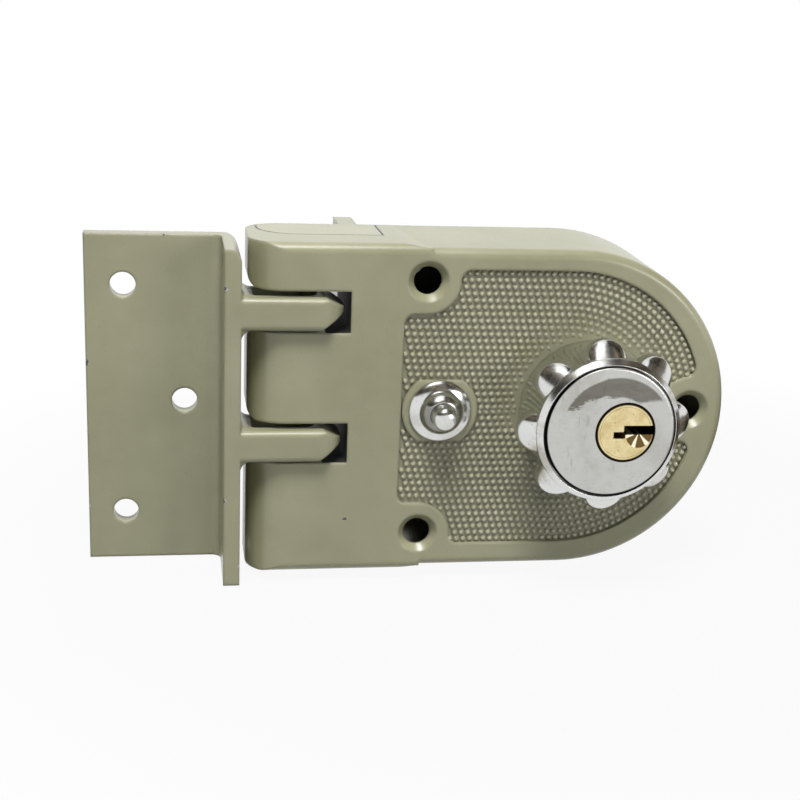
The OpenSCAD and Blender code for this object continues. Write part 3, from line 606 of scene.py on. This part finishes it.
def makePlugBrass(name):
    metal = Finish(name)
    look = plugLook
    away = metal.reach(plugAxis, 0.0)
    cloud = metal.noise(*look["cloud"])
    turned = metal.streaks(*look["turned"])
    tone = metal.blend(metal.step(cloud, *look["cloudRange"]), look["bright"], look["deep"])
    specks = metal.step(metal.noise(*look["specks"]), *look["speckRange"])
    tone = metal.blend(specks * look["speckShare"], tone, look["dark"])
    line = metal.ramp(away, look["line"], look["lineRise"])
    line = line * (1 - metal.ramp(away, look["line"] + look["lineRise"], look["lineFall"]))
    rim = metal.ramp(away, look["rim"], look["rimSoft"])
    tone = metal.blend(line * look["lineShare"], tone, look["dark"])
    tone = metal.blend(rim, tone, look["rimTone"])
    across, _, up = metal.axes()
    inner = dishLook["radius"] - dishLook["soft"]
    dish = 1 - metal.ramp(metal.reach(dishLook["x"], dishLook["z"]), inner, dishLook["soft"])
    dish = dish * (1 - metal.step(up, *dishLook["topRange"]))
    angle = (up - dishLook["fanZ"]).angle(across - dishLook["fanX"])
    angle = angle * dishLook["flutes"] + dishLook["fluteTurn"] + (cloud - midNoise) * dishLook["fluteWander"]
    flute = metal.step(angle.sine(), *dishLook["fluteRange"])
    # painted shade and highlight on the flutes of the dish
    tone = metal.blend(dish, tone, metal.blend(flute, look["dark"], dishLook["pale"]))
    height = turned * look["turnedRelief"] - line * look["lineRelief"] - rim * look["rimRelief"]
    height = height - dish * (dishLook["relief"] + flute * dishLook["fluteRelief"])
    return metal.finish(
        Base_Color=tone,
        Metallic=1.0,
        Roughness=look["rough"] + turned * look["turnedRough"],
        Normal=metal.bump(height, *look["bump"]),
    )


bushLook = {
    "bright": (0.68, 0.52, 0.26),
    "dull": (0.52, 0.38, 0.17),
    "cloud": (150.0, 4.0, 0.6),
    "cloudRange": (0.36, 0.70),
    "strokes": ((4200.0, 300.0, 300.0), 3.0, 0.6),
    "rough": 0.30,
    "strokeRough": 0.14,
    "bump": (0.08, 0.3 * mm),
}

steelLook = {
    "bright": (0.50, 0.50, 0.50),
    "dull": (0.36, 0.35, 0.33),
    "cloud": (110.0, 4.0, 0.6),
    "cloudRange": (0.35, 0.72),
    "strokes": ((420.0, 420.0, 3800.0), 3.0, 0.6),
    "rough": 0.30,
    "strokeRough": 0.18,
    "bump": (0.08, 0.3 * mm, 0.2 * mm),
}
# near-black steel for the parts inside the case, made dark as painted shade for the inside of the lock seen
# through the slots and holes
shadeDarkSteelLook = {**steelLook, "bright": (0.085, 0.082, 0.078), "dull": (0.040, 0.037, 0.033)}


def makeBrushed(name, look):
    metal = Finish(name)
    cloud = metal.step(metal.noise(*look["cloud"]), *look["cloudRange"])
    strokes = metal.streaks(*look["strokes"])
    return metal.finish(
        Base_Color=metal.blend(cloud, look["bright"], look["dull"]),
        Metallic=1.0,
        Roughness=look["rough"] + strokes * look["strokeRough"],
        Normal=metal.bump(strokes, *look["bump"]),
    )


caseEnamel = makeEnamel("oliveEnamel", chipLook["case"], slots=True)
bumpEnamel = makeEnamel("bumpEnamel", worn=0.30)
strikeEnamel = makeEnamel("strikeEnamel", chipLook["strike"])
flangeEnamel = makeEnamel("flangeEnamel", lift=1.10)
casting = makeCasting("greyCasting")
knobPlating = makePlated("knobPlating", 0.55)
buttonPlating = makePlated("buttonPlating", 0.25, dome=True)
faceMetal = makeFaceMetal("brushedFace")
plugBrass = makePlugBrass("plugBrass")
bushBrass = makeBrushed("bushBrass", bushLook)
steel = makeBrushed("millSteel", steelLook)
shadeDarkSteel = makeBrushed("shadeDarkSteel", shadeDarkSteelLook)
print("finishes made")

nodeFinish = {
    "case_cover": caseEnamel, "strike": strikeEnamel, "edge_flange": flangeEnamel, "back_plate": casting,
    "back_screws": steel, "guide_studs": shadeDarkSteel, "knob_bush": bushBrass, "button_bezel": buttonPlating,
    "button_nut": steel, "button_spring": steel, "button_plunger": buttonPlating, "button_clip": steel,
    "turn_knob": knobPlating, "knob_clip": steel, "drive_hub": shadeDarkSteel, "cylinder_body": faceMetal,
    "cylinder_screws": steel, "key_plug": plugBrass, "bottom_pins": bushBrass, "driver_pins": steel,
    "pin_springs": steel, "pin_cover": bushBrass, "lock_slide": shadeDarkSteel, "bolt_carrier": shadeDarkSteel,
    "upper_bolt": shadeDarkSteel, "lower_bolt": shadeDarkSteel, "bolt_rivets": shadeDarkSteel,
}


def dressNodes():
    for name, finish in nodeFinish.items():
        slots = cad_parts[name].data.materials
        slots.clear()
        slots.append(finish)


dressNodes()
print("nodes dressed")


def addPiece(name, mesh, body, finish):
    piece = bpy.data.objects.new(name, mesh)
    bpy.context.scene.collection.objects.link(piece)
    mesh.materials.append(finish)
    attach(piece, body)
    return piece


# small domes cast into the sunken panel, in rows that follow its outline and flatter by the knob
panelLook = {
    "rowPitch": 1.67 * mm,
    "spotPitch": 1.72 * mm,
    "rowShift": 0.28,
    "radius": 0.76 * mm,
    "height": 0.70 * mm,
    "front": -28.0 * mm,
    "outerRow": 34.0 * mm,
    "roundCentre": -6.0 * mm,
    "left": -47.3 * mm,
    "knobKeepOut": 18.6 * mm,
    "ear": (-41.8 * mm, 32.0 * mm, 7.9 * mm),
    "rightEar": (26.3 * mm, 8.5 * mm),
    "buttonRadius": 9.4 * mm,
    "buttonHalf": 7.7 * mm,
    "margin": 0.35 * mm,
    "rings": 3,
    "sides": 10,
    "seed": 7,
    "heightSpread": (0.92, 1.05),
    "flatFrom": 19.0 * mm,
    "flatWidth": 6.0 * mm,
    "flatAbove": -4.0 * mm,
    "flatHeight": 0.35,
    "flatRadius": 0.8,
}


def insidePanel(x, z):
    margin = panelLook["margin"]
    if x < panelLook["left"] + margin or math.hypot(x, z) < panelLook["knobKeepOut"]:
        return False
    earX, earZ, radius = panelLook["ear"]
    for side in (-1, 1):
        dx, dz = x - earX, side * z - earZ
        if math.hypot(dx, dz) < radius + margin:
            return False
        if (dx < radius + margin and dz > 0) or (dx < 0 and dz > -radius - margin):
            return False
    earX, radius = panelLook["rightEar"]
    if math.hypot(x - earX, z) < radius + margin or (x > earX and abs(z) < radius + margin):
        return False
    onButton = math.hypot(x - buttonAxis, z) < panelLook["buttonRadius"] + margin
    return not (onButton and abs(z) < panelLook["buttonHalf"] + margin)


def bumpSpots():
    spots = []
    centre, left = panelLook["roundCentre"], panelLook["left"]
    straight = centre - left
    row = 0
    radius = panelLook["outerRow"]
    while radius > 0:
        long = 2 * straight + math.pi * radius
        along = (row * panelLook["rowShift"] % 1.0) * panelLook["spotPitch"]
        while along < long:
            if along < straight:
                x, z = left + along, radius
            elif along < long - straight:
                turn = math.pi / 2 - (along - straight) / radius
                x, z = centre + radius * math.cos(turn), radius * math.sin(turn)
            else:
                x, z = left + (long - along), -radius
            if insidePanel(x, z):
                spots.append((x, z))
            along += panelLook["spotPitch"]
        radius -= panelLook["rowPitch"]
        row += 1
    return spots


# how full a bump stands: 0 close over the knob, and 1 away from it and below
def bumpFullness(x, z):
    if z <= panelLook["flatAbove"]:
        return 1.0
    return min(1.0, max(0.0, (math.hypot(x, z) - panelLook["flatFrom"]) / panelLook["flatWidth"]))


def buildPanelBumps():
    random.seed(panelLook["seed"])
    made = bmesh.new()
    rings, sides, front = panelLook["rings"], panelLook["sides"], panelLook["front"]
    turns = [2 * math.pi * k / sides for k in range(sides)]
    for x, z in bumpSpots():
        full = bumpFullness(x, z)
        high = panelLook["height"] * (panelLook["flatHeight"] + (1 - panelLook["flatHeight"]) * full)
        high *= random.uniform(*panelLook["heightSpread"])
        radius = panelLook["radius"] * (panelLook["flatRadius"] + (1 - panelLook["flatRadius"]) * full)
        loops = []
        for ring in range(rings):
            slope = ring / rings * math.pi / 2
            reach, y = radius * math.cos(slope), front - high * math.sin(slope)
            loops.append([made.verts.new((x + reach * math.cos(turn), y, z + reach * math.sin(turn)))
                          for turn in turns])
        top = made.verts.new((x, front - high, z))
        for low, above in zip(loops, loops[1:]):
            for k in range(sides):
                n = (k + 1) % sides
                made.faces.new((low[k], low[n], above[n], above[k]))
        for k in range(sides):
            made.faces.new((loops[-1][k], loops[-1][(k + 1) % sides], top))
    bmesh.ops.recalc_face_normals(made, faces=made.faces)
    mesh = bpy.data.meshes.new("panel_bumps")
    made.to_mesh(mesh)
    made.free()
    mesh.shade_smooth()
    addPiece("panel_bumps", mesh, "case", bumpEnamel)


buildPanelBumps()
print("panel bumps cast")

# the button's bezel and plunger, turned as smooth curves: radius and height over the case front
buttonLook = {
    "front": -29.0 * mm,
    "sides": 72,
    "sharp": 50,
    "bezel": ((1.35, -10.0), (5.0, -10.0), (5.0, 0.02), (7.60, 0.02), (7.78, 0.15), (7.80, 0.40),
              (7.62, 0.72), (7.10, 1.12), (6.50, 1.45), (5.95, 1.68), (5.55, 1.82), (5.32, 1.95),
              (5.20, 2.30), (4.95, 2.85), (4.58, 3.42), (4.14, 3.90), (3.70, 4.24), (3.36, 4.42),
              (3.22, 4.44), (3.15, 4.36), (3.15, -8.5), (1.35, -8.5), (1.35, -10.0)),
    "plunger": ((0.0, -16.4), (1.2, -16.4), (1.2, -0.1), (3.0, -0.1), (3.03, 6.85), (2.96, 7.35),
                (2.78, 7.80), (2.48, 8.22), (2.05, 8.57), (1.50, 8.82), (0.80, 8.96), (0.0, 9.0)),
}


def buildTurned(name, profile, body, node, finish):
    made = bmesh.new()
    sides = buttonLook["sides"]
    turns = [2 * math.pi * k / sides for k in range(sides)]
    rings = []
    for radius, high in profile:
        y = buttonLook["front"] - high * mm
        if radius == 0:
            rings.append([made.verts.new((buttonAxis, y, 0))] * sides)
            continue
        reach = radius * mm
        rings.append([made.verts.new((buttonAxis + reach * math.cos(turn), y, reach * math.sin(turn)))
                      for turn in turns])
    for low, above in zip(rings, rings[1:]):
        for k in range(sides):
            n = (k + 1) % sides
            corners = [low[k], low[n], above[n], above[k]]
            made.faces.new([vert for i, vert in enumerate(corners) if vert not in corners[:i]])
    bmesh.ops.remove_doubles(made, verts=made.verts, dist=weldGap)
    bmesh.ops.recalc_face_normals(made, faces=made.faces)
    mesh = bpy.data.meshes.new(name)
    made.to_mesh(mesh)
    made.free()
    mesh.shade_smooth()
    mesh.set_sharp_from_angle(angle=math.radians(buttonLook["sharp"]))
    piece = addPiece(name, mesh, body, finish)
    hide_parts(node)


# the knob again, with its lobes sloping back from the ring as cast petals do
knobLook = {
    "lobes": 8,
    "firstLobe": 4,
    "lobeAt": 16.3 * mm,
    "lobeRadius": 5.05 * mm,
    "drumRadius": 17.6 * mm,
    "lobeFront": -45.1 * mm,
    "fadeTo": -41.6 * mm,
    "slope": 0.62,
    "crown": 0.035 / mm,
    "lift": 0.8 * mm,
    "ringTop": (16.7 * mm, 16.35 * mm),
    "ringSide": (-45.6 * mm, -46.15 * mm),
    "snap": 0.05 * mm,
    "drumSnap": 0.02 * mm,
    "sharp": 32,
}


def shapePetals(verts):
    look = knobLook
    drum, front, snap = look["drumRadius"], look["lobeFront"], look["snap"]
    turns = [math.radians(look["firstLobe"] + 360 * i / look["lobes"]) for i in range(look["lobes"])]
    centres = [(look["lobeAt"] * math.cos(turn), look["lobeAt"] * math.sin(turn)) for turn in turns]
    for vert in verts:
        x, y, z = vert.co
        reach = math.hypot(x, z)
        if abs(reach - look["ringTop"][0]) < snap and y < look["ringSide"][0]:
            vert.co.x, vert.co.z = (part * look["ringTop"][1] / reach for part in (x, z))
        elif abs(reach - drum) < snap and abs(y - look["ringSide"][0]) < snap:
            vert.co.y = look["ringSide"][1]
        near = min(math.hypot(x - cx, z - cz) for cx, cz in centres)
        if reach < drum - look["drumSnap"] or near > look["lobeRadius"] or y < front - snap:
            continue
        share = min(1.0, max(0.0, (look["fadeTo"] - y) / (look["fadeTo"] - front)))
        vert.co.y += share * ((reach - drum) * look["slope"] + near * near * look["crown"] - look["lift"])


def buildKnob():
    made = bmesh.new()
    made.from_mesh(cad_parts["turn_knob"].data)
    bmesh.ops.remove_doubles(made, verts=made.verts, dist=weldGap)
    shapePetals(made.verts)
    mesh = bpy.data.meshes.new("knob_petals")
    made.to_mesh(mesh)
    made.free()
    for spare in [layer.name for layer in mesh.attributes if "custom_normal" in layer.name]:
        mesh.attributes.remove(mesh.attributes[spare])
    mesh.materials.clear()
    mesh.shade_smooth()
    mesh.set_sharp_from_angle(angle=math.radians(knobLook["sharp"]))
    piece = addPiece("knob_petals", mesh, "knob", knobPlating)
    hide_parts("turn_knob")


buildTurned("button_ring", buttonLook["bezel"], "case", "button_bezel", buttonPlating)
buildTurned("button_tip", buttonLook["plunger"], "button", "button_plunger", buttonPlating)
print("button turned")
buildKnob()
print("knob petals shaped")


# the button's spring again, copied with a mesh of its own
def buildSpring():
    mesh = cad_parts["button_spring"].data.copy()
    mesh.materials.clear()
    piece = addPiece("spring_coil", mesh, "case", steel)
    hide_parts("button_spring")
    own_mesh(piece)


buildSpring()
print("spring coiled")

cameraSet = {
    "place": (-102.41 * mm, -350.90 * mm, 96.03 * mm),
    "turn": (73.0179, -2.3488, -8.8617),
    "sensor": 36.0,
    "lens": 62.8751,
    "shift": (0.0037, 0.0313),
    "clip": (0.01, 20.0),
}


def setCamera():
    lens = bpy.data.cameras.new("viewCamera")
    lens.sensor_width = cameraSet["sensor"]
    lens.lens = cameraSet["lens"]
    lens.shift_x, lens.shift_y = cameraSet["shift"]
    lens.clip_start, lens.clip_end = cameraSet["clip"]
    camera = bpy.data.objects.new("viewCamera", lens)
    bpy.context.scene.collection.objects.link(camera)
    camera.location = cameraSet["place"]
    camera.rotation_euler = [math.radians(angle) for angle in cameraSet["turn"]]
    bpy.context.scene.camera = camera


def addStage(name, corners, faces, finish):
    mesh = bpy.data.meshes.new(name)
    mesh.from_pydata(corners, [], faces)
    mesh.materials.append(finish.material)
    piece = bpy.data.objects.new(name, mesh)
    bpy.context.scene.collection.objects.link(piece)
    piece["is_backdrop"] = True
    return piece


floorSet = {
    "drop": 0.5 * mm,
    "half": 3.0,
    "tone": (0.30, 0.30, 0.30),
    "rough": 0.9,
    "specular": 0.1,
    "glow": (1, 1, 1, 1),
    "glowNear": 0.93,
    "fadeRange": (0.10, 0.24),
}


# white paper that looks lit, a little less so close to the lock
def setFloor():
    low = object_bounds()[0][2] - floorSet["drop"]
    paper = Finish("whitePaper")
    paper.finish(
        Base_Color=floorSet["tone"],
        Roughness=floorSet["rough"],
        Specular_IOR_Level=floorSet["specular"],
    )
    across, deep, _ = paper.axes()
    fade = paper.step((across * across + deep * deep) ** 0.5, *floorSet["fadeRange"])
    near = floorSet["glowNear"]
    factor = paper.plainRays() * (fade * (1 - near) + near)
    glow = paper.node("ShaderNodeEmission", None, {0: floorSet["glow"]})
    plain = Wire(paper.tree, paper.shader.outputs[0])
    mix = paper.node("ShaderNodeMixShader", None, {0: factor, 1: plain, 2: glow})
    paper.tree.links.new(mix.socket, paper.output.inputs[0])
    half = floorSet["half"]
    corners = [(x, y, low) for x, y in ((-half, -half), (half, -half), (half, half), (-half, half))]
    addStage("floor", corners, [(0, 1, 2, 3)], paper)


drapeSet = {
    "dark": (0.022, 0.020, 0.016),
    "brown": (0.20, 0.165, 0.13),
    "gold": (0.55, 0.42, 0.20),
    "folds": ((5.0, 5.0, 2.2), 3.0, 0.6),
    "foldRange": (0.44, 0.60),
    "glints": ((14.0, 14.0, 3.0), 2.0, 0.5),
    "glintRange": (0.64, 0.70),
    "radius": 0.75,
    "liftFrom": 20,
    "liftTo": 76,
    "turnFrom": -215,
    "turnTo": 35,
    "rows": 8,
    "columns": 20,
    "side": ((0.09, -0.16), (0.7, -0.5), (0.7, 0.5), (0.09, 0.22)),
}


# the drapes glow instead of being lit: their pattern is a painted reflection
def makeDrape():
    drape = Finish("darkDrape")
    folds = drape.step(drape.streaks(*drapeSet["folds"]), *drapeSet["foldRange"])
    glints = drape.step(drape.streaks(*drapeSet["glints"]), *drapeSet["glintRange"])
    tone = drape.blend(folds, drapeSet["dark"], drapeSet["brown"])
    tone = drape.blend(glints, tone, drapeSet["gold"])
    drape.finish(
        Base_Color=(0.0, 0.0, 0.0),
        Specular_IOR_Level=0.0,
        Emission_Color=tone,
        Emission_Strength=1.0,
    )
    return drape


# dark drapes over the camera side and to the right, glowing with brown folds and gold glints, which only the
# metal mirrors as a painted reflection
def setDrapes():
    drape = makeDrape()
    radius, rows, columns = drapeSet["radius"], drapeSet["rows"], drapeSet["columns"]
    liftFrom, liftTo = drapeSet["liftFrom"], drapeSet["liftTo"]
    turnFrom, turnTo = drapeSet["turnFrom"], drapeSet["turnTo"]
    corners, faces = [], []
    for row in range(rows + 1):
        lift = math.radians(liftFrom + (liftTo - liftFrom) * row / rows)
        for column in range(columns + 1):
            turn = math.radians(turnFrom + (turnTo - turnFrom) * column / columns)
            flat = radius * math.cos(lift)
            corners.append((flat * math.cos(turn), flat * math.sin(turn), radius * math.sin(lift)))
    for row in range(rows):
        for column in range(columns):
            first = row * (columns + 1) + column
            faces.append((first, first + 1, first + columns + 2, first + columns + 1))
    overhead = addStage("overheadDrape", corners, faces, drape)
    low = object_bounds()[0][2]
    side = addStage("sideDrape", [(x, y, low) for x, y in drapeSet["side"]], [(0, 1, 2, 3)], drape)
    for piece in (overhead, side):
        piece.visible_camera = False
        piece.visible_diffuse = False
        piece.visible_shadow = False
        piece.visible_transmission = False


worldSet = {
    "tone": (1, 1, 1, 1),
    "ambient": 0.07,
}


def setWorld():
    world = bpy.data.worlds.new("studio")
    bpy.context.scene.world = world
    world.use_nodes = True
    sky = Graph(world.node_tree)
    ambient = worldSet["ambient"]
    strength = sky.plainRays() * (1.0 - ambient) + ambient
    background = sky.node("ShaderNodeBackground", None, {0: worldSet["tone"], 1: strength})
    output = sky.tree.nodes.new("ShaderNodeOutputWorld")
    sky.tree.links.new(background.socket, output.inputs[0])


lampAim = (-0.02, -0.02, 0.0)
lampSet = {
    "overhead": {"place": (-0.15, -0.37, 0.86), "size": (0.34, 0.30), "power": 12.0, "mirrored": True},
    "frontFill": {"place": (0.75, -1.0, 0.30), "size": (0.5, 0.4), "power": 4.8, "mirrored": True},
    "rearFill": {"place": (0.25, 1.05, 0.50), "size": (0.7, 0.5), "power": 3.0, "mirrored": False},
}


def setLamps():
    for name, lamp in lampSet.items():
        light = bpy.data.lights.new(name, "AREA")
        light.shape = "RECTANGLE"
        light.size, light.size_y = lamp["size"]
        light.energy = lamp["power"]
        holder = bpy.data.objects.new(name, light)
        bpy.context.scene.collection.objects.link(holder)
        holder.location = lamp["place"]
        holder.visible_glossy = lamp["mirrored"]
        aim = Vector(lampAim) - Vector(lamp["place"])
        holder.rotation_euler = aim.to_track_quat("-Z", "Y").to_euler()


setCamera()
setFloor()
setDrapes()
setWorld()
setLamps()
bpy.context.scene.view_settings.view_transform = "Standard"
print("camera, floor, drapes and lamps set")
